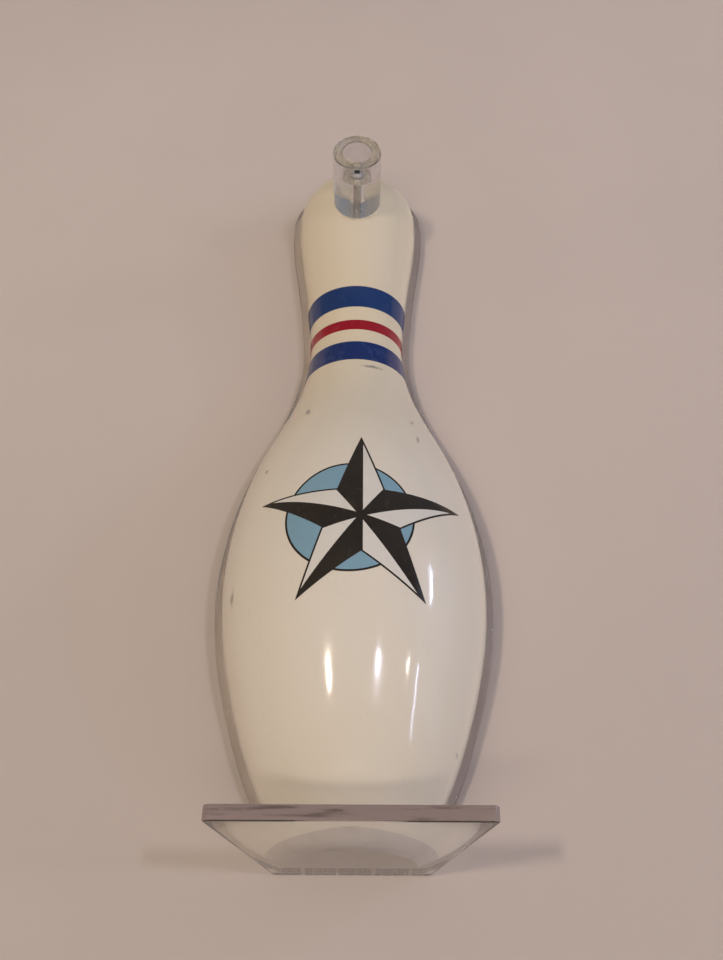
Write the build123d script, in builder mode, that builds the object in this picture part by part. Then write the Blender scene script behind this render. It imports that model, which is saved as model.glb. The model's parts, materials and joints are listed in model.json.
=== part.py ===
"""A half bowling pin on a clear acrylic wall bracket, with a clear round peg screwed to its head.

The wall is the plane y = 0 and the front is -Y. X is to the right and Z is up. The origin is on
the wall, on the pin's centre line, level with the pin's base. All sizes are in millimetres.
"""

import os
from math import cos, radians, sin, tan

from build123d import *

INCH = 25.4

# The pin. Each station is its height above the base and its diameter there, both in inches: the
# regulation outline, with the neck a little fuller and the waist above the base a little wider.
PIN_HEIGHT = 15.0 * INCH
PIN_STATIONS = (
    (0.0, 2.031),
    (0.75, 3.0),
    (2.25, 4.09),
    (3.375, 4.59),
    (4.5, 4.77),
    (5.875, 4.49),
    (7.25, 3.665),
    (8.625, 2.475),
    (9.375, 2.06),
    (10.0, 1.90),
    (10.875, 1.98),
    (11.75, 2.16),
    (12.625, 2.40),
    (13.5, 2.546),
)
CROWN_RADIUS = PIN_STATIONS[-1][1] * INCH / 2
BASE_FLARE = (0.8, 1.0)
COATING = 3.2
FILM = 0.15

# The base cap, whose floor closes the pin below and whose socket takes a tenon on the core.
CAP_HEIGHT = 9.0
CAP_FLOOR = 3.0
TENON_RADIUS = 17.0
BASE_EDGE_ROUND = 1.5

# The core: a billet of three plies, with one belly block glued to each of its three faces.
BILLET_WIDTH = 66.0
BILLET_DEPTH = BILLET_WIDTH / 2
PLY_WIDTH = BILLET_WIDTH / 3

# Printed bands round the neck, each as its lower and its upper height.
STRIPES = {
    "upper_blue_stripe": (271.6, 284.4),
    "red_stripe": (257.1, 263.1),
    "lower_blue_stripe": (235.8, 248.8),
}

# The emblem: a disc with a dark rim, and a faceted five-pointed star over it.
DISC_RADIUS = 27.8
DISC_CENTRE = (-1.8, 127.4)
RIM_WIDTH = 0.9
STAR_CENTRE = (3.0, 126.5)
STAR_TIP_RADIUS = 46.0
STAR_NOTCH_RADIUS = 17.6
STAR_POINTS = 5
STAR_OUTLINE = 0.8

# The clear bracket.
PLATE_THICKNESS = 8.0
PLATE_MARGIN = 3.4
SHELF_THICKNESS = 5.8
SHELF_FRONT_WIDTH = 107.9
SHELF_BACK_WIDTH = 65.0
SHELF_DEPTH = 72.4 + PLATE_THICKNESS
SHELF_CORNER_RADIUS = 2.8
POLISHED_EDGE = 0.35

# Keyholes through the plate, which hang the object on two wall screws, and the pockets behind
# the plate that their heads slide up into.
KEYHOLE_HEIGHTS = (110.0, 290.0)
KEYHOLE_ENTRY_RADIUS = 4.75
KEYHOLE_SLOT_WIDTH = 5.2
KEYHOLE_TRAVEL = 10.0
POCKET_WIDTH = 12.0
POCKET_DEPTH = 4.5

# Flat-head screws that hold the plate on the pin, driven from the wall side.
PLATE_SCREW_HEIGHTS = (45.0, 190.0, 318.0)
PLATE_SCREW_LENGTH = 22.0
PLATE_SCREW_RADIUS = 2.1
PLATE_SCREW_HOLE_RADIUS = 2.5
PLATE_SCREW_HEAD_RADIUS = 4.1
PLATE_SCREW_HEAD_ANGLE = 82.0
PLATE_SCREW_SUNK = 0.2
COUNTERSINK_CLEARANCE = 0.3

# The peg and its screw.
PEG_HEIGHT = 338.6
PEG_RADIUS = 12.45
PEG_LENGTH = 35.0
PEG_EDGE = 0.6
PEG_BORE_RADIUS = 2.16
PEG_COUNTERBORE_RADIUS = 7.5
PEG_COUNTERBORE_DEPTH = 14.0
PEG_SCREW_RADIUS = 2.1
PEG_SCREW_HEAD_RADIUS = 3.6
PEG_SCREW_HEAD_DEPTH = 2.8
PEG_SCREW_HEAD_EDGE = 0.9
PEG_SCREW_SHANK = 26.0
PEG_SCREW_LENGTH = 50.8
TURNING_GAP = 0.12

# What both kinds of screw share.
DRIVE_SQUARE = 2.75
DRIVE_DEPTH = 2.2
THREAD_PITCH = 3.2
THREAD_ROOT_RADIUS = 1.5
THREAD_FLANK = 0.9
POINT_LENGTH = 3.5
SNUG = 0.04
HEAD_LIFT = 0.1

# Places worked out from the sizes above.
PIN_BACK = -PLATE_THICKNESS
PIN_PLANE = Plane.XZ.offset(PLATE_THICKNESS)
PIN_AXIS = Axis((0, PIN_BACK, 0), (0, 0, 1))
HEAD_FRONT = PIN_BACK - CROWN_RADIUS
PEG_BACK = HEAD_FRONT - TURNING_GAP
PEG_FRONT = PEG_BACK - PEG_LENGTH
PEG_SCREW_SEAT = PEG_FRONT + PEG_COUNTERBORE_DEPTH
PEG_SCREW_HOLE_RADIUS = PEG_SCREW_RADIUS + SNUG
REACH = 2 * PIN_HEIGHT


def outline(inset, bottom=0.0, top=REACH):
    """Half of the pin's lengthwise section between two heights, drawn in by inset all round."""
    crown = CROWN_RADIUS - inset
    crown_height = PIN_HEIGHT - CROWN_RADIUS
    stations = [(d * INCH / 2 - inset, h * INCH) for h, d in PIN_STATIONS]
    with BuildSketch(PIN_PLANE) as section:
        with BuildLine():
            Polyline((0, PIN_HEIGHT - inset), (0, 0), stations[0])
            Spline(*stations, tangents=(BASE_FLARE, (0, 1)))
            Line(stations[-1], (crown, crown_height))
            RadiusArc((crown, crown_height), (0, PIN_HEIGHT - inset), -crown)
        make_face()
        with Locations((0, bottom)):
            Rectangle(REACH, REACH, align=(Align.CENTER, Align.MIN), mode=Mode.INTERSECT)
        with Locations((0, top)):
            Rectangle(REACH, REACH, align=(Align.CENTER, Align.MIN), mode=Mode.SUBTRACT)
    return section.sketch


def save(piece, label):
    """Labels a finished part and writes it as its own file."""
    piece.part.label = label
    export_step(piece.part, f"parts/{label}.step")


def front_facing(height, y):
    """The plane at this height and y that faces the front, with X to the right and Y up."""
    return Plane((0, y, height), x_dir=(1, 0, 0), z_dir=(0, -1, 0))


def bore(height, back, radius, depth):
    """Cuts a round hole forward from this y in the current part."""
    with BuildSketch(front_facing(height, back)) as mouth:
        Circle(radius)
    extrude(mouth.sketch, amount=depth, mode=Mode.SUBTRACT)


os.makedirs("parts", exist_ok=True)

SKIN = outline(0)
PRINT = outline(-FILM)
WOOD = outline(COATING, CAP_HEIGHT)

# --- Plastic coating: a half shell, with a hole at the head for the peg's screw.
with BuildPart() as coating:
    revolve(outline(0, CAP_HEIGHT), axis=PIN_AXIS)
    revolve(WOOD, axis=PIN_AXIS, mode=Mode.SUBTRACT)
    split(bisect_by=PIN_PLANE, keep=Keep.TOP)
    bore(PEG_HEIGHT, PIN_BACK - BILLET_DEPTH / 2, PEG_SCREW_HOLE_RADIUS, BILLET_WIDTH)
save(coating, "coating")

# --- Base cap, which the pin stands on.
with BuildPart() as base_cap:
    revolve(outline(0, 0, CAP_HEIGHT), axis=PIN_AXIS)
    foot = base_cap.faces().sort_by(Axis.Z)[0]
    fillet(foot.edges(), BASE_EDGE_ROUND)
    with BuildSketch(Plane.XY.offset(CAP_FLOOR)):
        with Locations((0, PIN_BACK)):
            Circle(TENON_RADIUS)
    extrude(amount=CAP_HEIGHT, mode=Mode.SUBTRACT)
    split(bisect_by=PIN_PLANE, keep=Keep.TOP)
save(base_cap, "base_cap")


def core_piece(label, left, right, back, front, drilled=False):
    """One glued block of the maple core, between two planes across X and two planes across Y."""
    with BuildPart() as block:
        revolve(WOOD, axis=PIN_AXIS)
        with Locations((0, PIN_BACK, CAP_FLOOR)):
            Cylinder(
                TENON_RADIUS,
                CAP_HEIGHT - CAP_FLOOR,
                align=(Align.CENTER, Align.CENTER, Align.MIN),
            )
        with Locations(((left + right) / 2, back, 0)):
            Box(
                right - left,
                back - front,
                REACH,
                align=(Align.CENTER, Align.MAX, Align.CENTER),
                mode=Mode.INTERSECT,
            )
        if drilled:
            drill_core()
    save(block, label)


def drill_core():
    """Screw holes and keyhole pockets in the ply that lies on the middle of the plate."""
    tip = PEG_SCREW_SEAT + PEG_SCREW_LENGTH
    bore(PEG_HEIGHT, tip, PEG_SCREW_HOLE_RADIUS, REACH)
    for height in PLATE_SCREW_HEIGHTS:
        bore(height, PIN_BACK, PLATE_SCREW_RADIUS + SNUG, PLATE_SCREW_LENGTH - PLATE_THICKNESS + 1)
    for height in KEYHOLE_HEIGHTS:
        with BuildSketch(front_facing(height + KEYHOLE_TRAVEL / 2, PIN_BACK)) as pocket:
            SlotCenterToCenter(KEYHOLE_TRAVEL, POCKET_WIDTH, rotation=90)
        extrude(pocket.sketch, amount=POCKET_DEPTH, mode=Mode.SUBTRACT)


# --- Laminated maple core: three plies, and the belly blocks glued to their outsides.
HALF_BILLET = BILLET_WIDTH / 2
BILLET_FRONT = PIN_BACK - BILLET_DEPTH
core_piece("core_left_ply", -HALF_BILLET, -PLY_WIDTH / 2, PIN_BACK, BILLET_FRONT)
core_piece("core_centre_ply", -PLY_WIDTH / 2, PLY_WIDTH / 2, PIN_BACK, BILLET_FRONT, True)
core_piece("core_right_ply", PLY_WIDTH / 2, HALF_BILLET, PIN_BACK, BILLET_FRONT)
core_piece("belly_block_left", -REACH, -HALF_BILLET, PIN_BACK, BILLET_FRONT)
core_piece("belly_block_right", HALF_BILLET, REACH, PIN_BACK, BILLET_FRONT)
core_piece("belly_block_front", -REACH, REACH, BILLET_FRONT, -REACH)


# --- Printed bands round the neck.
for band, (low, high) in STRIPES.items():
    with BuildPart() as stripe:
        revolve(outline(-FILM, low, high), axis=PIN_AXIS)
        revolve(SKIN, axis=PIN_AXIS, mode=Mode.SUBTRACT)
        split(bisect_by=PIN_PLANE, keep=Keep.TOP)
    save(stripe, band)


def star_corner(index):
    """Going round from the top tip: tips have even numbers and notches odd ones."""
    reach = STAR_NOTCH_RADIUS if index % 2 else STAR_TIP_RADIUS
    angle = radians(90 - index * 180 / STAR_POINTS)
    return (STAR_CENTRE[0] + reach * cos(angle), STAR_CENTRE[1] + reach * sin(angle))


def star(mode=Mode.ADD):
    """The whole star, in the current sketch."""
    corners = [star_corner(index) for index in range(2 * STAR_POINTS)]
    Polygon(*corners, align=None, mode=mode)


def print_film(flat, label):
    """Wraps a flat drawing round the pin's front as a film of ink."""
    with BuildPart() as ink:
        revolve(PRINT, axis=PIN_AXIS)
        revolve(SKIN, axis=PIN_AXIS, mode=Mode.SUBTRACT)
        extrude(flat, amount=REACH, mode=Mode.INTERSECT)
    save(ink, label)


# --- Emblem: a disc, the light half of each of the star's points, and the dark lines and halves.
with BuildSketch(PIN_PLANE) as disc:
    with Locations(DISC_CENTRE):
        Circle(DISC_RADIUS - RIM_WIDTH)
    star(Mode.SUBTRACT)

with BuildSketch(PIN_PLANE) as light_facets:
    for tip in range(0, 2 * STAR_POINTS, 2):
        Polygon(STAR_CENTRE, star_corner(tip), star_corner(tip + 1), align=None)
    offset(amount=-STAR_OUTLINE, kind=Kind.INTERSECTION)

with BuildSketch(PIN_PLANE) as dark_lines:
    with Locations(DISC_CENTRE):
        Circle(DISC_RADIUS)
        Circle(DISC_RADIUS - RIM_WIDTH, mode=Mode.SUBTRACT)
    star()
    add(light_facets.sketch_local, mode=Mode.SUBTRACT)

print_film(disc.sketch, "emblem_disc")
print_film(light_facets.sketch, "emblem_light")
print_film(dark_lines.sketch, "emblem_dark")


# --- Clear back plate, in the pin's outline with a margin, standing on the shelf.
with BuildPart() as back_plate:
    with BuildSketch(Plane.XZ) as plate_outline:
        add(outline(-PLATE_MARGIN).moved(Location((0, PLATE_THICKNESS, 0))))
        mirror(about=Plane.YZ)
    extrude(amount=PLATE_THICKNESS)
    with Locations(*[Plane((0, 0, height), z_dir=(0, 1, 0)) for height in PLATE_SCREW_HEIGHTS]):
        CounterSinkHole(
            PLATE_SCREW_HOLE_RADIUS,
            PLATE_SCREW_HEAD_RADIUS + COUNTERSINK_CLEARANCE,
            counter_sink_angle=PLATE_SCREW_HEAD_ANGLE,
        )
    for height in KEYHOLE_HEIGHTS:
        with BuildSketch(front_facing(height, 0)) as keyhole:
            Circle(KEYHOLE_ENTRY_RADIUS)
            with Locations((0, KEYHOLE_TRAVEL / 2)):
                SlotCenterToCenter(KEYHOLE_TRAVEL, KEYHOLE_SLOT_WIDTH, rotation=90)
        extrude(keyhole.sketch, amount=PLATE_THICKNESS, mode=Mode.SUBTRACT)
save(back_plate, "back_plate")

# --- Clear shelf, wider at the front, with rounded and polished front corners.
with BuildPart() as shelf:
    with BuildSketch(Plane.XY.offset(-SHELF_THICKNESS)):
        Polygon(
            (-SHELF_BACK_WIDTH / 2, 0),
            (SHELF_BACK_WIDTH / 2, 0),
            (SHELF_FRONT_WIDTH / 2, -SHELF_DEPTH),
            (-SHELF_FRONT_WIDTH / 2, -SHELF_DEPTH),
            align=None,
        )
    extrude(amount=SHELF_THICKNESS)
    fillet(shelf.edges().filter_by(Axis.Z).group_by(Axis.Y)[0], SHELF_CORNER_RADIUS)
    chamfer(shelf.faces().sort_by(Axis.Y)[0].edges().filter_by(Axis.X), POLISHED_EDGE)
save(shelf, "shelf")

# --- Clear round peg, bored for its screw's shank and head.
with BuildPart() as peg:
    with BuildSketch(front_facing(PEG_HEIGHT, PEG_BACK)):
        Circle(PEG_RADIUS)
    extrude(amount=PEG_LENGTH)
    chamfer(peg.edges().filter_by(GeomType.CIRCLE), PEG_EDGE)
    with Locations(front_facing(PEG_HEIGHT, PEG_FRONT)):
        CounterBoreHole(PEG_BORE_RADIUS, PEG_COUNTERBORE_RADIUS, PEG_COUNTERBORE_DEPTH)
save(peg, "peg")


def shaft_points(radius, plain, length):
    """A wood screw's half section below its head: plain shank, thread ridges, then its point."""
    ridges = int((length - plain - POINT_LENGTH) / THREAD_PITCH)
    points = [(radius, -plain)]
    for turn in range(ridges):
        crest = -plain - (turn + 0.5) * THREAD_PITCH
        points += [
            (THREAD_ROOT_RADIUS, crest + THREAD_FLANK),
            (radius, crest),
            (THREAD_ROOT_RADIUS, crest - THREAD_FLANK),
        ]
    points += [(THREAD_ROOT_RADIUS, -length + POINT_LENGTH), (0, -length)]
    return points


def square_drive(face):
    """Cuts the square recess into the screw head whose top is this plane."""
    with BuildSketch(face) as socket:
        Rectangle(DRIVE_SQUARE, DRIVE_SQUARE)
    extrude(socket.sketch, amount=-DRIVE_DEPTH, mode=Mode.SUBTRACT)


# --- Pan-head screw that holds the peg on the pin's head.
with BuildPart() as peg_screw:
    with BuildSketch(Plane((0, PEG_SCREW_SEAT, PEG_HEIGHT), (1, 0, 0), (0, 0, -1))):
        with BuildLine():
            Polyline(
                *reversed(shaft_points(PEG_SCREW_RADIUS, PEG_SCREW_SHANK, PEG_SCREW_LENGTH)),
                (PEG_SCREW_RADIUS, HEAD_LIFT),
                (PEG_SCREW_HEAD_RADIUS, HEAD_LIFT),
                (PEG_SCREW_HEAD_RADIUS, PEG_SCREW_HEAD_EDGE),
            )
            TangentArc(
                (0, PEG_SCREW_HEAD_DEPTH),
                (PEG_SCREW_HEAD_RADIUS, PEG_SCREW_HEAD_EDGE),
                tangent=(1, 0),
            )
            Line((0, PEG_SCREW_HEAD_DEPTH), (0, -PEG_SCREW_LENGTH))
        make_face()
    revolve(axis=Axis((0, 0, PEG_HEIGHT), (0, 1, 0)))
    square_drive(front_facing(PEG_HEIGHT, PEG_SCREW_SEAT - PEG_SCREW_HEAD_DEPTH))
save(peg_screw, "peg_screw")

# --- Flat-head screws that hold the plate on the pin.
half_angle = radians(PLATE_SCREW_HEAD_ANGLE / 2)
head_taper = (PLATE_SCREW_HEAD_RADIUS - PLATE_SCREW_RADIUS) / tan(half_angle)
with BuildPart() as plate_screws:
    for height in PLATE_SCREW_HEIGHTS:
        with BuildSketch(Plane((0, -PLATE_SCREW_SUNK, height))) as screw_section:
            Polygon(
                (0, 0),
                (PLATE_SCREW_HEAD_RADIUS, 0),
                (PLATE_SCREW_RADIUS, -head_taper),
                *shaft_points(PLATE_SCREW_RADIUS, PLATE_THICKNESS, PLATE_SCREW_LENGTH),
                align=None,
            )
        revolve(screw_section.sketch, axis=Axis((0, 0, height), (0, 1, 0)))
        square_drive(Plane((0, -PLATE_SCREW_SUNK, height), z_dir=(0, 1, 0)))
save(plate_screws, "plate_screws")
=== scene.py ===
"""The looks of a half bowling pin on a clear wall bracket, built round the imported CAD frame.

Everything is in metres in the frame's own axes: the wall is y = 0, the front is -Y, X is to the
right and Z is up. Positions come from the frame's boxes. The pin's outline is repeated from the part.
"""

import json
from math import cos, pi, radians, sin, tan

import bmesh
import bpy
import numpy as np
from mathutils import Matrix, Vector

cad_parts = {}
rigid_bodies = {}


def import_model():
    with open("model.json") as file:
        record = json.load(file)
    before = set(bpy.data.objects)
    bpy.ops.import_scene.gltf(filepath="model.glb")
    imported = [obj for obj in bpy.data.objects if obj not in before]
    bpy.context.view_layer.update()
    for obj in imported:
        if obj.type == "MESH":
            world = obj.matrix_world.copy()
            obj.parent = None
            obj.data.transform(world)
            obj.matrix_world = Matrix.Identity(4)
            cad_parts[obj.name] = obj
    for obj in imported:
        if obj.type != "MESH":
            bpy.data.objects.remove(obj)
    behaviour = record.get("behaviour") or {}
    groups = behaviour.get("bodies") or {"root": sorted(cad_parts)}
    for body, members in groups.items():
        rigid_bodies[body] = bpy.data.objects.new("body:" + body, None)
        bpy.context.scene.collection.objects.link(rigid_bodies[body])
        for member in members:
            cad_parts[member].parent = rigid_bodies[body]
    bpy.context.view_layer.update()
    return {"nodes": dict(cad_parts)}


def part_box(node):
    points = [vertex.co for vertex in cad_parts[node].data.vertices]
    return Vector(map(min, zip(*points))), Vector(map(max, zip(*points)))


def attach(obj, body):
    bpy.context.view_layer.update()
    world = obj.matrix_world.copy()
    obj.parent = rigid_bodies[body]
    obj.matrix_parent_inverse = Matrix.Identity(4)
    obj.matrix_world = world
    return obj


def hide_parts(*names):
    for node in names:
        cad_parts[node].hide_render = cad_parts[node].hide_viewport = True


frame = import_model()

MM = 0.001
INCH = 0.0254
PIN_BODY = "wall_pin"
PEG_BODY = "peg"

# The pin's outline, as each station's height above the base and its diameter there, in inches.
PIN_STATIONS = (
    (0.0, 2.031),
    (0.75, 3.0),
    (2.25, 4.09),
    (3.375, 4.59),
    (4.5, 4.77),
    (5.875, 4.49),
    (7.25, 3.665),
    (8.625, 2.475),
    (9.375, 2.06),
    (10.0, 1.90),
    (10.875, 1.98),
    (11.75, 2.16),
    (12.625, 2.40),
    (13.5, 2.546),
)
CROWN_RADIUS = PIN_STATIONS[-1][1] * INCH / 2
BASE_FLARE = (0.8, 1.0)
COATING = 3.2 * MM
FILM = 0.15 * MM
PLATE_MARGIN = 3.4 * MM
AIR_GAP = 0.04 * MM
POLISHED_EDGE = 0.4 * MM
SHARP_ANGLE = radians(32)

# Places read from the frame.
PIN_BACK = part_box("coating")[1].y
PIN_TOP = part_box("coating")[1].z
FOOT_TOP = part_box("base_cap")[1].z
PIN_CENTRE = Vector((0, PIN_BACK, PIN_TOP / 2))


# --- Outlines ---------------------------------------------------------------------------------


def smooth_path(stations, first, last, steps=24):
    """Points on a smooth curve through the stations, which has these directions at its two ends."""
    points = np.array(stations)
    spans = np.linalg.norm(np.diff(points, axis=0), axis=1)
    rows = np.eye(len(points))
    sides = np.zeros_like(points)
    sides[0] = np.array(first) / np.linalg.norm(first)
    sides[-1] = np.array(last) / np.linalg.norm(last)
    for i in range(1, len(points) - 1):
        before, after = spans[i - 1], spans[i]
        rows[i, i - 1 : i + 2] = after, 2 * (before + after), before
        rise_in, rise_out = (points[i] - points[i - 1]) / before, (points[i + 1] - points[i]) / after
        sides[i] = 3 * (after * rise_in + before * rise_out)
    slopes = np.linalg.solve(rows, sides)
    t = np.linspace(0, 1, steps, endpoint=False)[:, None]
    path = []
    for i, span in enumerate(spans):
        path.append(
            (1 + 2 * t) * (1 - t) ** 2 * points[i]
            + t * (1 - t) ** 2 * span * slopes[i]
            + t**2 * (3 - 2 * t) * points[i + 1]
            + t**2 * (t - 1) * span * slopes[i + 1]
        )
    return np.vstack([*path, points[-1:]])


def pin_outline(out=0.0):
    """The pin's whole outline as (radius, height) rows, from the base to the top of the crown."""
    stations = [(d * INCH / 2 + out, h * INCH) for h, d in PIN_STATIONS]
    side = smooth_path(stations, BASE_FLARE, (0, 1))
    crown = CROWN_RADIUS + out
    angles = np.linspace(0, pi / 2, 49)
    top = np.column_stack([crown * np.cos(angles), PIN_TOP - CROWN_RADIUS + crown * np.sin(angles)])
    top[-1, 0] = 0
    return np.vstack([side, top])


def stretch(outline, low, high):
    """The part of an outline between two heights, with a row at each."""
    inside = outline[(outline[:, 1] > low) & (outline[:, 1] < high)]
    ends = [(np.interp(z, outline[:, 1], outline[:, 0]), z) for z in (low, high)]
    return np.vstack([ends[:1], inside, ends[1:]])


def resample(path, count):
    """The same path with this many rows."""
    rows = np.linspace(0, len(path) - 1, count)
    return np.column_stack([np.interp(rows, range(len(path)), path[:, i]) for i in (0, 1)])


# --- Mesh building ----------------------------------------------------------------------------


def finish_piece(name, bm, material, body, node):
    """Turns a bmesh into a piece that rides on a body and stands for this CAD node."""
    bmesh.ops.remove_doubles(bm, verts=bm.verts, dist=1e-7)
    bmesh.ops.recalc_face_normals(bm, faces=bm.faces)
    mesh = bpy.data.meshes.new(name)
    bm.to_mesh(mesh)
    bm.free()
    mesh.shade_smooth()
    mesh.set_sharp_from_angle(angle=SHARP_ANGLE)
    mesh.materials.append(material)
    piece = bpy.data.objects.new(name, mesh)
    bpy.context.scene.collection.objects.link(piece)
    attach(piece, body)
    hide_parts(node)
    return piece


def half_shell(outer, inner, steps=180):
    """A shell between two outlines with equal numbers of rows, turned through the front half circle."""
    bm = bmesh.new()
    count = len(outer)
    section = np.vstack([outer, inner[::-1]])
    rings = []
    for angle in np.linspace(pi, 2 * pi, steps + 1):
        rings.append(
            [bm.verts.new((r * cos(angle), PIN_BACK + r * sin(angle), z)) for r, z in section]
        )
    for ring, following in zip(rings, rings[1:]):
        for i in range(len(section)):
            j = (i + 1) % len(section)
            bm.faces.new((ring[i], ring[j], following[j], following[i]))
    for end in (rings[0], rings[-1]):
        for i in range(count - 1):
            bm.faces.new((end[i], end[i + 1], end[-2 - i], end[-1 - i]))
    return bm


def lathe(profile, place, steps=96, closed=True):
    """A profile of (radius, distance along the axis) pairs turned full circle, put at a place."""
    bm = bmesh.new()
    rings = []
    for step in range(steps):
        angle = 2 * pi * step / steps
        rings.append([bm.verts.new((r * cos(angle), r * sin(angle), along)) for r, along in profile])
    edges = range(len(profile)) if closed else range(len(profile) - 1)
    for step in range(steps):
        ring, following = rings[step], rings[(step + 1) % steps]
        for i in edges:
            j = (i + 1) % len(profile)
            bm.faces.new((ring[i], ring[j], following[j], following[i]))
    bmesh.ops.remove_doubles(bm, verts=bm.verts, dist=1e-7)
    bm.transform(place)
    return bm


def round_off(piece, width, segments=3):
    """Rounds a piece's sharp edges, as polishing does."""
    bevel = piece.modifiers.new("polished edges", "BEVEL")
    bevel.width = width
    bevel.segments = segments
    bevel.limit_method = "ANGLE"
    bevel.angle_limit = radians(40)


def sheet_mesh(loops, thickness, edge):
    """A flat plate lying in XY from z = 0 up, with holes where loops lie inside the first one."""
    curve = bpy.data.curves.new("outline", "CURVE")
    curve.dimensions = "2D"
    curve.fill_mode = "BOTH"
    curve.extrude = thickness / 2 - edge
    curve.bevel_depth = edge
    curve.bevel_resolution = 2
    curve.offset = -edge
    for loop in loops:
        spline = curve.splines.new("POLY")
        spline.points.add(len(loop) - 1)
        for point, (x, y) in zip(spline.points, loop):
            point.co = (x, y, 0, 1)
        spline.use_cyclic_u = True
    carrier = bpy.data.objects.new("outline", curve)
    bm = bmesh.new()
    bm.from_mesh(bpy.data.meshes.new_from_object(carrier))
    bpy.data.objects.remove(carrier)
    bmesh.ops.translate(bm, verts=bm.verts, vec=(0, 0, thickness / 2))
    return bm


def arc(centre, radius, start, end, steps=24):
    """Points on a circle between two angles in degrees."""
    angles = np.radians(np.linspace(start, end, steps + 1))
    return [(centre[0] + radius * cos(a), centre[1] + radius * sin(a)) for a in angles]


def carve(piece, cutter):
    """Cuts a bmesh out of a piece, for good."""
    mesh = bpy.data.meshes.new("cutter")
    bmesh.ops.recalc_face_normals(cutter, faces=cutter.faces)
    cutter.to_mesh(mesh)
    cutter.free()
    tool = bpy.data.objects.new("cutter", mesh)
    bpy.context.scene.collection.objects.link(tool)
    cut = piece.modifiers.new("cut", "BOOLEAN")
    cut.object = tool
    cut.solver = "EXACT"
    graph = bpy.context.evaluated_depsgraph_get()
    carved = bpy.data.meshes.new_from_object(piece.evaluated_get(graph), depsgraph=graph)
    piece.modifiers.clear()
    piece.data = carved
    bpy.data.objects.remove(tool)


# --- Materials --------------------------------------------------------------------------------


class Look:
    """A material with one Principled shader, and short ways to add the nodes that feed it."""

    def __init__(self, name, **settings):
        self.material = bpy.data.materials.new(name)
        self.material.use_nodes = True
        self.tree = self.material.node_tree
        self.shader = self.tree.nodes["Principled BSDF"]
        self.output = self.tree.nodes["Material Output"]
        self.where = self.node("ShaderNodeTexCoord").outputs["Object"]
        self.set(self.shader, settings)

    def set(self, node, settings):
        """Gives each named input a constant, or a link where the value is another node's output."""
        for key, value in settings.items():
            socket = node.inputs[key.replace("_", " ") if isinstance(key, str) else key]
            if isinstance(value, bpy.types.NodeSocket):
                self.tree.links.new(value, socket)
            else:
                socket.default_value = value

    def node(self, kind, settings=None, **attributes):
        """Adds a node, with its own attributes and its inputs' settings."""
        made = self.tree.nodes.new(kind)
        for key, value in attributes.items():
            setattr(made, key, value)
        self.set(made, settings or {})
        return made

    def stretched(self, scale, offset=(0, 0, 0)):
        """The object's coordinates, scaled along each axis and moved."""
        settings = {"Vector": self.where, "Scale": scale, "Location": offset}
        return self.node("ShaderNodeMapping", settings).outputs["Vector"]

    def noise(self, scale, detail=3.0, roughness=0.5, vector=None, distortion=0.0):
        """Smooth noise from 0 to 1, whose features are about 1 / scale metres across."""
        settings = {
            "Vector": vector or self.where,
            "Scale": scale,
            "Detail": detail,
            "Roughness": roughness,
            "Distortion": distortion,
        }
        return self.node("ShaderNodeTexNoise", settings).outputs["Fac"]

    def ramp(self, value, low, high, start=0.0, end=1.0):
        """Value from low to high, spread over start to end and held there beyond them."""
        settings = {"Value": value, "From Min": low, "From Max": high, "To Min": start, "To Max": end}
        return self.node("ShaderNodeMapRange", settings, interpolation_type="SMOOTHSTEP").outputs[0]

    def math(self, operation, first, second):
        """One sum on two values."""
        return self.node("ShaderNodeMath", {0: first, 1: second}, operation=operation).outputs[0]

    def mix(self, share, first, second):
        """The first colour, with this share of the second."""
        made = self.node("ShaderNodeMix", {"Factor": share}, data_type="RGBA")
        inputs = [s for s in made.inputs if s.type == "RGBA"]
        for socket, colour in zip(inputs, (first, second)):
            if isinstance(colour, bpy.types.NodeSocket):
                self.tree.links.new(colour, socket)
            else:
                socket.default_value = (*colour, 1)
        return next(s for s in made.outputs if s.type == "RGBA")

    def bump(self, height, strength, distance):
        """Feeds the shader's normal from a height."""
        settings = {"Height": height, "Strength": strength, "Distance": distance}
        made = self.node("ShaderNodeBump", settings)
        self.set(self.shader, {"Normal": made.outputs["Normal"]})


# Marks on the coating, as the side-to-side place, height, length and width of each, in mm.
SCUFFS = (
    (-22.5, 198.7, 5.0, 2.0),
    (26.8, 192.4, 2.5, 1.6),
    (29.1, 179.2, 4.5, 1.2),
    (-40.2, 163.2, 2.2, 1.6),
    (-53.0, 102.1, 7.0, 1.3),
    (43.2, 37.2, 1.6, 1.2),
    (8.0, 231.0, 2.0, 9.0),
)


def scuff_mask(look):
    """One on the scuffs and zero elsewhere, with ragged edges."""
    ragged = look.noise(650, detail=4, roughness=0.7)
    total = 0.0
    for x, z, length, width in SCUFFS:
        size = Vector((1 / width, 0, 1 / length)) / MM
        shifted = look.stretched(size, (-x * MM * size.x, 0, -z * MM * size.z))
        reach = look.node("ShaderNodeVectorMath", {0: shifted}, operation="LENGTH").outputs["Value"]
        patch = look.ramp(look.math("ADD", reach, look.math("MULTIPLY", ragged, 1.6)), 1.55, 0.95)
        total = look.math("MAXIMUM", total, patch)
    front = look.node("ShaderNodeSeparateXYZ", {0: look.where}).outputs["Y"]
    return look.math("MULTIPLY", total, look.math("LESS_THAN", front, PIN_BACK - 2 * MM))


def hairlines(look, across, along, width, turn):
    """Fine scratches in one direction, thinned out by a broad noise."""
    turned = look.node("ShaderNodeMapping", {"Vector": look.where, "Rotation": (0, turn, 0)})
    grain = look.node(
        "ShaderNodeMapping", {"Vector": turned.outputs["Vector"], "Scale": (across, across, along)}
    )
    lines = look.noise(1.0, detail=1, vector=grain.outputs["Vector"])
    thin = look.ramp(look.math("ABSOLUTE", look.math("SUBTRACT", lines, 0.5), 0), width, 0.0)
    return look.math("MULTIPLY", thin, look.ramp(look.noise(38, detail=1), 0.56, 0.68))


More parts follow.
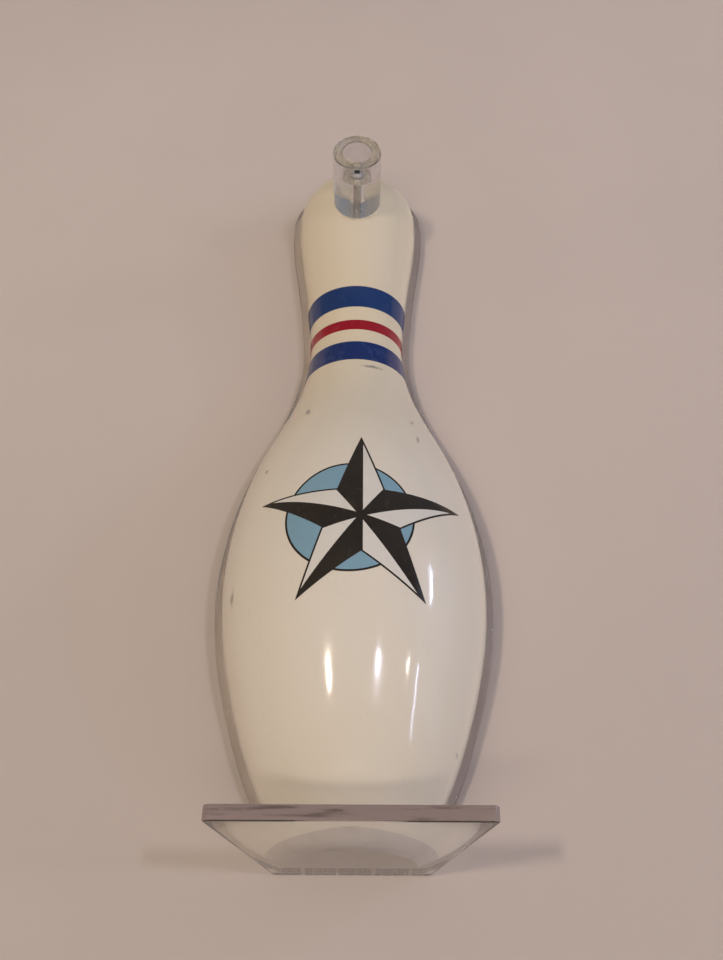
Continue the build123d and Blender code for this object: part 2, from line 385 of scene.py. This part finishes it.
def cream_gloss():
    """The pin's coating: an old glossy cream plastic, a little yellower and darker towards the top, and
    scuffed here and there.
    """
    look = Look("pin_coating", IOR=1.5)
    height = look.node("ShaderNodeSeparateXYZ", {0: look.where}).outputs["Z"]
    cloudy = look.math("MULTIPLY", look.ramp(look.noise(9, detail=2), 0.35, 0.7), 0.35)
    # The colour turns yellower and a little darker towards the top.
    upward_and_cloudy = look.math("ADD", look.ramp(height, 0.12, 0.27, 0, 0.65), cloudy)
    yellower_up_top = look.mix(upward_and_cloudy, (0.80, 0.735, 0.63), (0.79, 0.685, 0.50))
    specks = look.ramp(look.noise(900, detail=2), 0.74, 0.80, 0, 0.5)
    speckled = look.mix(specks, yellower_up_top, (0.42, 0.36, 0.28))
    scuffs = scuff_mask(look)
    worn = look.mix(look.math("MULTIPLY", scuffs, 0.75), speckled, (0.20, 0.18, 0.15))
    scratches = hairlines(look, 900, 24, 0.018, 0.25)
    marked = look.mix(look.math("MULTIPLY", scratches, 0.25), worn, (0.50, 0.45, 0.37))
    smears = look.ramp(look.noise(55, detail=3), 0.3, 0.75, 0.07, 0.16)
    rough = look.math("ADD", smears, look.math("MULTIPLY", scuffs, 0.35))
    look.set(look.shader, {"Base Color": marked, "Roughness": rough})
    dents = look.math("SUBTRACT", look.noise(70, detail=1), look.math("MULTIPLY", scratches, 0.02))
    look.bump(dents, 0.35, 0.25 * MM)
    return look.material


def print_ink(name, colour, faded, wear):
    """Ink on the coating: even where wear is 0, and broken up by pale rubbed patches towards 1."""
    look = Look(name, IOR=1.5)
    cloudy = look.mix(look.ramp(look.noise(45, detail=3), 0.3, 0.7, 0, 0.22), colour, faded)
    rubbed = look.noise(170, detail=6, roughness=0.65, distortion=0.6)
    patches = look.ramp(rubbed, 0.60 - 0.12 * wear, 0.66 - 0.10 * wear, 0, 0.2 + 0.45 * wear)
    specks = look.ramp(look.noise(1400, detail=1), 0.72, 0.78, 0, 0.35)
    worn = look.mix(look.math("MAXIMUM", patches, specks), cloudy, faded)
    look.set(look.shader, {"Base Color": worn, "Roughness": look.ramp(rubbed, 0.3, 0.75, 0.09, 0.2)})
    look.bump(look.noise(70, detail=1), 0.35, 0.25 * MM)
    return look.material


def clear_acrylic(name, passes, tint=(0.97, 0.965, 0.955)):
    """Polished acrylic. Each of its surfaces lets this share of a lamp's light through."""
    look = Look(name, Base_Color=(*tint, 1), Transmission_Weight=1.0, IOR=1.49)
    smears = look.noise(120, detail=3)
    look.set(look.shader, {"Roughness": look.ramp(smears, 0.45, 0.8, 0.0, 0.05)})
    look.bump(look.noise(260, detail=2), 0.04, 0.05 * MM)
    light_only = look.node("ShaderNodeLightPath").outputs["Is Shadow Ray"]
    through = look.node("ShaderNodeBsdfTransparent", {"Color": (*[passes] * 3, 1)})
    both = look.node(
        "ShaderNodeMixShader",
        {0: light_only, 1: look.shader.outputs["BSDF"], 2: through.outputs["BSDF"]},
    )
    look.set(look.output, {"Surface": both.outputs["Shader"]})
    return look.material


def cut_edge(name, clear, pale, dark, along, seams=(0.50, 0.68)):
    """A little cloudy acrylic face, coloured in smears between a pale and a darker colour stretched
    along the cut. On the shelf's front these colours are painted light: the lit wall seen through the
    acrylic, streaked with painted shade.
    """
    look = Look(name, Transmission_Weight=clear, IOR=1.49)
    streaks = look.noise(60, detail=4, roughness=0.6, vector=look.stretched(along))
    look.set(look.shader, {"Base Color": look.mix(look.ramp(streaks, *seams), pale, dark)})
    look.set(look.shader, {"Roughness": look.ramp(streaks, 0.3, 0.7, 0.12, 0.3)})
    look.bump(streaks, 0.2, 0.1 * MM)
    return look.material


def maple(name, tone, shift):
    """Hard maple, its grain upright. Tone is the board's own shade, and shift its place in the log."""
    look = Look(name)
    light = Vector((0.80, 0.62, 0.42)) * tone
    dark = Vector((0.58, 0.39, 0.22)) * tone
    board = look.stretched((1, 1, 0.055), (shift, shift * 0.7, 0))
    rings = look.noise(95, detail=4, roughness=0.6, vector=board, distortion=1.2)
    fibres = look.noise(1500, detail=2, vector=look.stretched((1, 1, 0.03)))
    grain = look.mix(look.ramp(rings, 0.35, 0.68), light, dark)
    flecked = look.mix(look.ramp(fibres, 0.55, 0.75, 0, 0.35), grain, dark * 0.8)
    look.set(look.shader, {"Base Color": flecked, "Roughness": look.ramp(fibres, 0.3, 0.8, 0.45, 0.65)})
    look.bump(fibres, 0.25, 0.1 * MM)
    return look.material


def nylon():
    """The base cap: moulded, satin and a little soiled where it stands."""
    look = Look("base_cap", IOR=1.5)
    soil = look.ramp(look.noise(160, detail=4), 0.45, 0.75, 0, 0.35)
    look.set(look.shader, {"Base Color": look.mix(soil, (0.56, 0.51, 0.45), (0.36, 0.32, 0.27))})
    look.set(look.shader, {"Roughness": look.ramp(look.noise(500), 0.3, 0.7, 0.32, 0.5)})
    look.bump(look.noise(1800, detail=2), 0.15, 0.05 * MM)
    return look.material


def zinc_steel():
    """Zinc-plated steel with fine turning marks and a few duller patches."""
    look = Look("screw_steel", Metallic=0.65)
    patches = look.ramp(look.noise(420, detail=3), 0.4, 0.7)
    look.set(look.shader, {"Base Color": look.mix(patches, (0.78, 0.77, 0.74), (0.60, 0.59, 0.56))})
    look.set(look.shader, {"Roughness": look.ramp(look.noise(900, detail=2), 0.3, 0.75, 0.32, 0.52)})
    look.bump(look.noise(2600, detail=1), 0.2, 0.03 * MM)
    return look.material


def painted_shade_steel():
    """The bottom and walls of a screw's drive, painted near black as painted shade for the dark recess,
    in a random mottle.
    """
    look = Look("screw_recess", Metallic=0.6)
    shade_mottle = look.ramp(look.noise(1500, detail=3), 0.35, 0.7)
    look.set(look.shader, {"Base Color": look.mix(shade_mottle, (0.10, 0.085, 0.07), (0.03, 0.025, 0.02))})
    look.set(look.shader, {"Roughness": look.ramp(shade_mottle, 0, 1, 0.45, 0.7)})
    return look.material


def paint(node, material):
    """Gives a CAD node this material."""
    frame["nodes"][node].data.materials.clear()
    frame["nodes"][node].data.materials.append(material)


# --- The pin ----------------------------------------------------------------------------------

SKIN = pin_outline()
CORE = pin_outline(-COATING)
PRINT = pin_outline(FILM)
cream = cream_gloss()
steel = zinc_steel()
recess = painted_shade_steel()


def make_coating():
    """The cream shell, with its cut rim against the plate."""
    outer = stretch(SKIN, FOOT_TOP, PIN_TOP)
    inner = resample(stretch(CORE, FOOT_TOP, PIN_TOP - COATING), len(outer))
    finish_piece("pin_shell", half_shell(outer, inner), cream, PIN_BODY, "coating")


def make_band(node, material):
    """One printed band round the neck."""
    low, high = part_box(node)
    rows = len(stretch(SKIN, low.z, high.z))
    outer = stretch(PRINT, low.z, high.z)[:rows]
    inner = outer - (FILM, 0)
    finish_piece(f"{node}_print", half_shell(outer, inner), material, PIN_BODY, node)


def make_foot():
    """The closed nylon cap, rounded where it stands on the shelf, with its socket for the core."""
    edge = 1.5 * MM
    floor = 3 * MM
    socket = 17 * MM
    side = stretch(SKIN, edge, FOOT_TOP)
    corner = side[0][0] - edge
    turn = np.linspace(-pi / 2, 0, 9)[:-1]
    rounding = np.column_stack([corner + edge * np.cos(turn), edge + edge * np.sin(turn)])
    outer = np.vstack([(0, 0), rounding, side])
    half = len(outer) // 2
    across = np.linspace((0, floor), (socket, floor), half)
    inner = np.vstack([across, np.linspace((socket, floor), (socket, FOOT_TOP), len(outer) - half)])
    finish_piece("foot_cap", half_shell(outer, inner), nylon(), PIN_BODY, "base_cap")


make_coating()
make_foot()
upper_blue = print_ink("upper_blue", (0.006, 0.036, 0.155), (0.045, 0.075, 0.20), 0.1)
red = print_ink("red", (0.33, 0.002, 0.016), (0.40, 0.05, 0.06), 0.2)
lower_blue = print_ink("lower_blue", (0.001, 0.020, 0.14), (0.04, 0.07, 0.20), 0.5)
make_band("upper_blue_stripe", upper_blue)
make_band("red_stripe", red)
make_band("lower_blue_stripe", lower_blue)

paint("emblem_disc", print_ink("sky", (0.215, 0.38, 0.49), (0.29, 0.44, 0.53), 0.1))
paint("emblem_light", print_ink("white", (0.76, 0.73, 0.67), (0.66, 0.61, 0.54), 0.2))
paint("emblem_dark", print_ink("black", (0.020, 0.014, 0.010), (0.06, 0.05, 0.04), 0.2))

BOARDS = (
    ("core_left_ply", 0.93),
    ("core_centre_ply", 1.12),
    ("core_right_ply", 0.86),
    ("belly_block_left", 1.08),
    ("belly_block_right", 1.02),
    ("belly_block_front", 1.0),
)
for order, (board, tone) in enumerate(BOARDS):
    paint(board, maple(f"maple_{board}", tone, 0.31 * order))


# --- The clear bracket ------------------------------------------------------------------------

KEYHOLE_HEIGHTS = (110 * MM, 290 * MM)
KEYHOLE_ENTRY = 4.75 * MM
KEYHOLE_SLOT = 2.6 * MM
KEYHOLE_TRAVEL = 10 * MM
PLATE_SCREW_HEIGHTS = (45 * MM, 190 * MM, 318 * MM)
PLATE_SCREW_HOLE = 2.5 * MM
COUNTERSINK = 4.4 * MM
COUNTERSINK_ANGLE = 82


def facing(y, height, out=-1):
    """Puts a lathe's axis at this height, running from this y towards the front or the wall."""
    turn = Matrix.Rotation(-out * pi / 2, 4, "X")
    return Matrix.Translation((0, y, height)) @ turn


def countersunk(height):
    """A cutter for one screw's hole through the plate, wider at the wall."""
    taper = (COUNTERSINK - PLATE_SCREW_HOLE) / tan(radians(COUNTERSINK_ANGLE / 2))
    outside = 2 * MM
    profile = [
        (0, -outside),
        (COUNTERSINK, -outside),
        (COUNTERSINK, 0),
        (PLATE_SCREW_HOLE, taper),
        (PLATE_SCREW_HOLE, outside - PIN_BACK),
        (0, outside - PIN_BACK),
    ]
    return lathe(profile, facing(0, height), steps=48, closed=False)


def keyhole(height):
    """The outline of one keyhole: a round entry, with a slot that runs up from it."""
    meeting = np.degrees(np.arccos(KEYHOLE_SLOT / KEYHOLE_ENTRY))
    entry = arc((0, height), KEYHOLE_ENTRY, 180 - meeting, 360 + meeting, 48)
    return entry + arc((0, height + KEYHOLE_TRAVEL), KEYHOLE_SLOT, 0, 180)


def make_plate(acrylic, cement):
    """The plate behind the pin, in the pin's outline with a margin."""
    half = pin_outline(PLATE_MARGIN)
    right = [(r, z) for r, z in half if z > 0]
    foot = (np.interp(0, half[:, 1], half[:, 0]), 0)
    right_side = [foot, *right]
    outline = right_side + [(-r, z) for r, z in reversed(right_side[:-1])]
    holes = [keyhole(height) for height in KEYHOLE_HEIGHTS]
    thickness = -PIN_BACK - AIR_GAP
    bm = sheet_mesh([outline, *holes], thickness, POLISHED_EDGE)
    bm.transform(Matrix.Rotation(pi / 2, 4, "X"))
    plate = finish_piece("clear_plate", bm, acrylic, PIN_BODY, "back_plate")
    for height in PLATE_SCREW_HEIGHTS:
        carve(plate, countersunk(height))
    plate.data.materials.append(cement)
    for face in plate.data.polygons:
        face.material_index = int(face.normal.z < -0.9 and face.center.z < MM)


def make_shelf(acrylic, cement):
    """The shelf under the pin, wider at the front, with round front corners."""
    low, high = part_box("shelf")
    mesh = frame["nodes"]["shelf"].data
    back = max(v.co.x for v in mesh.vertices if v.co.y > -0.1 * MM)
    corner = 2.8 * MM
    slant = np.degrees(np.arctan((high.x - back) / (high.y - low.y)))
    centre = (high.x - corner, low.y + corner)
    right = [(back, high.y), *arc(centre, corner, -slant, -90, 10)]
    outline = [*right, *[(-x, y) for x, y in reversed(right)]]
    bm = sheet_mesh([outline], high.z - low.z - AIR_GAP, POLISHED_EDGE)
    bmesh.ops.translate(bm, verts=bm.verts, vec=(0, 0, low.z))
    shelf = finish_piece("clear_shelf", bm, acrylic, PIN_BODY, "shelf")
    # The shelf's front face and its bevels get painted light: the colour of the lit wall seen through
    # the acrylic, in place of the dark reflection in the lower bevel.
    shelf.data.materials.append(
        cut_edge("shelf_edge", 0.45, (0.52, 0.40, 0.365), (0.26, 0.19, 0.17), (0.6, 0.6, 7))
    )
    shelf.data.materials.append(cement)
    for face in shelf.data.polygons:
        front = face.normal.y < -0.1
        joined = face.normal.y > 0.9
        face.material_index = 1 if front and abs(face.normal.z) < 0.95 else 2 * int(joined)


PALE_CEMENT = (0.40, 0.35, 0.32)
AIR_POCKET = (0.01, 0.008, 0.006)
joint = cut_edge("cement_joint", 0.1, PALE_CEMENT, AIR_POCKET, (4.5, 0, 0.2), (0.43, 0.47))
make_plate(clear_acrylic("clear_plate", 0.6), joint)
make_shelf(clear_acrylic("clear_shelf", 0.4), joint)


# --- The peg and the screws -------------------------------------------------------------------

PEG_LOW, PEG_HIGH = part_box("peg")
PEG_HEIGHT = (PEG_LOW.z + PEG_HIGH.z) / 2
PEG_RADIUS = (PEG_HIGH.z - PEG_LOW.z) / 2
PEG_LENGTH = PEG_HIGH.y - PEG_LOW.y
COUNTERBORE = 7.5 * MM
COUNTERBORE_DEPTH = 14 * MM
PEG_BORE = 2.16 * MM


def make_peg():
    """The clear peg, bored for its screw's shank and head."""
    floor = PEG_LENGTH - COUNTERBORE_DEPTH
    profile = [
        (PEG_BORE, 0),
        (PEG_RADIUS, 0),
        (PEG_RADIUS, PEG_LENGTH),
        (COUNTERBORE, PEG_LENGTH),
        (COUNTERBORE, floor),
        (PEG_BORE, floor),
    ]
    bm = lathe(profile, facing(PEG_HIGH.y, PEG_HEIGHT))
    # The peg's grey tint is painted shade: it dims the lit cream seen through the clear peg.
    acrylic = clear_acrylic("clear_peg", 0.5, (0.84, 0.84, 0.86))
    peg = finish_piece("clear_peg", bm, acrylic, PEG_BODY, "peg")
    round_off(peg, 0.6 * MM)


SHANK = 2.1 * MM
ROOT = 1.5 * MM
RUN_OUT = 1 * MM
PITCH = 3.2 * MM
POINT = 3.5 * MM
RIDGE_FOOT = 0.8 * MM


def thread(bm, start, end, place, steps=28):
    """Adds a helical ridge between two distances along a screw, fading in and out at its ends."""
    turns = (end - start) / PITCH
    count = int(turns * steps)
    rows = []
    for i in range(count + 1):
        angle = 2 * pi * i / steps
        along = start + (end - start) * i / count
        fade = min(1, i / steps, (count - i) / steps)
        crest = ROOT + (SHANK - ROOT) * fade
        sunk = ROOT * 0.9
        ridge = ((sunk, along - RIDGE_FOOT), (crest, along), (sunk, along + RIDGE_FOOT))
        rows.append(
            [bm.verts.new(place @ Vector((r * cos(angle), r * sin(angle), z))) for r, z in ridge]
        )
    for row, following in zip(rows, rows[1:]):
        for i in range(3):
            j = (i + 1) % 3
            bm.faces.new((row[i], row[j], following[j], following[i]))
    bm.faces.new(rows[0])
    bm.faces.new(reversed(rows[-1]))


def screw_body(head, plain, length, place):
    """A screw with its tip down the axis: the head's profile, a plain shank, a thread and a point."""
    shaft = [(SHANK, plain), (ROOT, plain + RUN_OUT), (ROOT, length - POINT), (0, length)]
    return lathe([*head, *shaft], place, steps=48, closed=False)


DRIVE = 2.75 * MM
DRIVE_DEPTH = 2.2 * MM
CUTTER_LENGTH = 10 * MM


def square_drive(place, top):
    """A square bar that reaches into the screw's head from outside."""
    bm = bmesh.new()
    middle = Matrix.Translation((0, 0, top + DRIVE_DEPTH - CUTTER_LENGTH / 2))
    bar = Matrix.Diagonal((DRIVE, DRIVE, CUTTER_LENGTH, 1))
    bmesh.ops.create_cube(bm, size=1, matrix=middle @ bar)
    bm.transform(place)
    return bm


def in_drive(point, top):
    """Whether a point, along a screw's own axis, is on the walls or the floor of its drive."""
    reach = max(abs(point.x), abs(point.y))
    return reach < DRIVE * 0.51 and 0.15 * MM < point.z - top < DRIVE_DEPTH * 1.1


def make_screw(name, node, head, top, plain, length, place):
    """One whole screw."""
    bm = screw_body(head, plain, length, place)
    screw = finish_piece(name, bm, steel, PIN_BODY, node)
    carve(screw, square_drive(place, top))
    screw.data.materials.append(recess)
    # The drive's walls and floor take the near-black painted shade.
    for face in screw.data.polygons:
        face.material_index = int(in_drive(place.inverted() @ face.center, top))
    bm = bmesh.new()
    bm.from_mesh(screw.data)
    thread(bm, plain + RUN_OUT, length - POINT * 0.6, place)
    bm.to_mesh(screw.data)
    bm.free()
    screw.data.shade_smooth()
    screw.data.set_sharp_from_angle(angle=SHARP_ANGLE)


def make_peg_screw():
    """The pan-head screw inside the peg."""
    low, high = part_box("peg_screw")
    radius = (high.x - low.x) / 2
    seat = PEG_LOW.y + COUNTERBORE_DEPTH
    depth = seat - low.y
    rim = 0.9 * MM
    under = 0.1 * MM
    dome = [(radius * sin(a), -rim - (depth - rim) * cos(a)) for a in np.linspace(0, pi / 2, 13)]
    head = [*dome, (radius, -under), (SHANK, -under)]
    place = facing(seat, PEG_HEIGHT, 1)
    make_screw("peg_screw_steel", "peg_screw", head, -depth, 26 * MM, high.y - seat, place)


def make_plate_screws():
    """The three flat-head screws, seen from behind."""
    low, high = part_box("plate_screws")
    radius = (high.x - low.x) / 2
    length = high.y - low.y
    taper = (radius - SHANK) / tan(radians(COUNTERSINK_ANGLE / 2))
    head = [(0, 0), (radius, 0), (SHANK, taper)]
    for number, height in enumerate(PLATE_SCREW_HEIGHTS, 1):
        place = facing(high.y, height, -1)
        make_screw(f"plate_screw_{number}", "plate_screws", head, 0, 8 * MM, length, place)


make_peg()
make_peg_screw()
make_plate_screws()


# --- Stage, light and camera ------------------------------------------------------------------


def stage_plane(name, corners, colour, see_from_behind=False):
    """A plain pale surface that isn't part of the object. Its colour carries painted shade that darkens
    it lower down, so the wall is darker towards the floor.
    """
    look = Look(name, Roughness=0.85)
    mottle = look.ramp(look.noise(4.5, detail=4), 0.3, 0.7, 0.75, 1)
    height = look.node("ShaderNodeSeparateXYZ", {0: look.where}).outputs["Z"]
    # Painted shade: lower down, the colour moves towards the darker tone, on top of the mottle.
    mottle_and_painted_shade = look.math("MULTIPLY", mottle, look.ramp(height, -0.12, 0.5, 0.15, 1))
    darker = tuple(c * 0.8 for c in colour)
    look.set(look.shader, {"Base Color": look.mix(mottle_and_painted_shade, darker, colour)})
    if see_from_behind:
        behind = look.node("ShaderNodeNewGeometry").outputs["Backfacing"]
        clear = look.node("ShaderNodeBsdfTransparent").outputs["BSDF"]
        both = look.node("ShaderNodeMixShader", {0: behind, 1: look.shader.outputs["BSDF"], 2: clear})
        look.set(look.output, {"Surface": both.outputs["Shader"]})
    mesh = bpy.data.meshes.new(name)
    mesh.from_pydata(corners, [], [(0, 1, 2, 3)])
    mesh.materials.append(look.material)
    plane = bpy.data.objects.new(name, mesh)
    bpy.context.scene.collection.objects.link(plane)
    return plane


def soft_light(name, azimuth, elevation, distance, size, power, colour, seen="both", turn=0):
    """A lamp aimed at the pin, from this many degrees to the right of the front and up.

    Seen says where its own shape shows: in shiny surfaces and through clear ones ("both"), only in
    shiny ones ("mirrored"), or in neither ("no").
    """
    a, e = radians(azimuth), radians(elevation)
    towards = Vector((sin(a) * cos(e), -cos(a) * cos(e), sin(e)))
    data = bpy.data.lights.new(name, "AREA")
    data.shape = "RECTANGLE"
    data.size, data.size_y = size
    data.energy = power
    data.color = colour
    lamp = bpy.data.objects.new(name, data)
    bpy.context.scene.collection.objects.link(lamp)
    lamp.location = PIN_CENTRE + towards * distance
    aim = (-towards).to_track_quat("-Z", "Y").to_matrix()
    lamp.rotation_euler = (aim @ Matrix.Rotation(radians(turn), 3, "Z")).to_euler()
    lamp.visible_glossy = seen != "no"
    lamp.visible_transmission = seen == "both"
    return lamp


FLOOR = -1.25
CEILING = 3.2
REACH = 4
WALL_Y = 0.3 * MM
WALL_COLOUR = (0.70, 0.605, 0.545)
FLOOR_COLOUR = (0.62, 0.57, 0.51)
sides = ((-REACH, 0), (REACH, 0), (REACH, 1), (-REACH, 1))
wall_corners = [(x, WALL_Y, (FLOOR, CEILING)[far]) for x, far in sides]
floor_corners = [(x, (-REACH, REACH)[far], FLOOR) for x, far in sides]
wall = stage_plane("backdrop", wall_corners, WALL_COLOUR, see_from_behind=True)
stage_plane("floor", floor_corners, FLOOR_COLOUR)

# First the small lamps and gaps, which show as spots and streaks on the coating, then the broad light.
WARM = (1.0, 0.86, 0.70)
NEUTRAL = (1.0, 0.915, 0.81)
PALE = (0.84, 0.79, 0.96)
COOL = (0.64, 0.72, 1.0)
soft_light("lamp_left", -22, -9.6, 2.4, (0.10, 0.20), 13.0, WARM)
soft_light("lamp_right", 21.5, -7.6, 2.4, (0.09, 0.15), 7.2, PALE)
soft_light("lamp_far_right", 49, -5.4, 2.6, (0.05, 0.08), 1.5, NEUTRAL)
soft_light("window", 66, 16.4, 2.6, (0.09, 0.45), 4.5, COOL)
soft_light("door_gap", 60, -10.9, 2.6, (0.02, 0.62), 2.4, COOL, turn=12)
soft_light("room_front", -7, -32, 2.6, (1.6, 0.25), 13.0, NEUTRAL, "no")
soft_light("room_right", 72, 8, 2.4, (1.6, 1.6), 4.6, COOL, "mirrored")
soft_light("room_left", -72, 8, 2.4, (1.6, 1.6), 2.5, WARM, "no")


def light_the_back():
    """Lights what faces the wall, which the wall itself would leave black in a view from behind."""
    lamp = soft_light("rear_fill", 150, 20, 2.2, (1.6, 1.6), 55.0, NEUTRAL, "no")
    open_air = bpy.data.collections.new("blocks_rear_light")
    for piece in bpy.context.scene.objects:
        if piece.type == "MESH" and piece is not wall:
            open_air.objects.link(piece)
    lamp.light_linking.blocker_collection = open_air


light_the_back()


def make_room():
    """The room's own soft light: warm from the left and cool from the right."""
    world = bpy.data.worlds.new("room")
    bpy.context.scene.world = world
    world.use_nodes = True
    tree = world.node_tree
    direction = tree.nodes.new("ShaderNodeTexCoord")
    split = tree.nodes.new("ShaderNodeSeparateXYZ")
    blend = tree.nodes.new("ShaderNodeValToRGB")
    spread = tree.nodes.new("ShaderNodeMapRange")
    spread.inputs["From Min"].default_value = -1
    blend.color_ramp.elements[0].color = (0.95, 0.80, 0.66, 1)
    blend.color_ramp.elements[1].color = (0.67, 0.76, 0.90, 1)
    tree.links.new(direction.outputs["Generated"], split.inputs[0])
    tree.links.new(split.outputs["X"], spread.inputs["Value"])
    tree.links.new(spread.outputs[0], blend.inputs["Fac"])
    tree.links.new(blend.outputs["Color"], tree.nodes["Background"].inputs["Color"])
    tree.nodes["Background"].inputs["Strength"].default_value = 0.27


make_room()

# The camera stands below the pin's base and looks up at it.
SENSOR_MM = 36.0
FOCAL_LENGTH_MM = 43.37
CAMERA_PLACE = Vector((3.1, -489.97, -121.07)) * MM
LOOKS_UP = 32.122
ROLL = 0.293
camera_data = bpy.data.cameras.new("photo_view")
camera_data.sensor_width = SENSOR_MM
camera_data.lens = FOCAL_LENGTH_MM
camera = bpy.data.objects.new("photo_view", camera_data)
bpy.context.scene.collection.objects.link(camera)
camera.location = CAMERA_PLACE
pitch = Matrix.Rotation(radians(90 + LOOKS_UP), 3, "X")
roll = Matrix.Rotation(radians(ROLL), 3, "Z")
camera.rotation_euler = (pitch @ roll).to_euler()
bpy.context.scene.camera = camera
bpy.context.scene.view_settings.view_transform = "Standard"
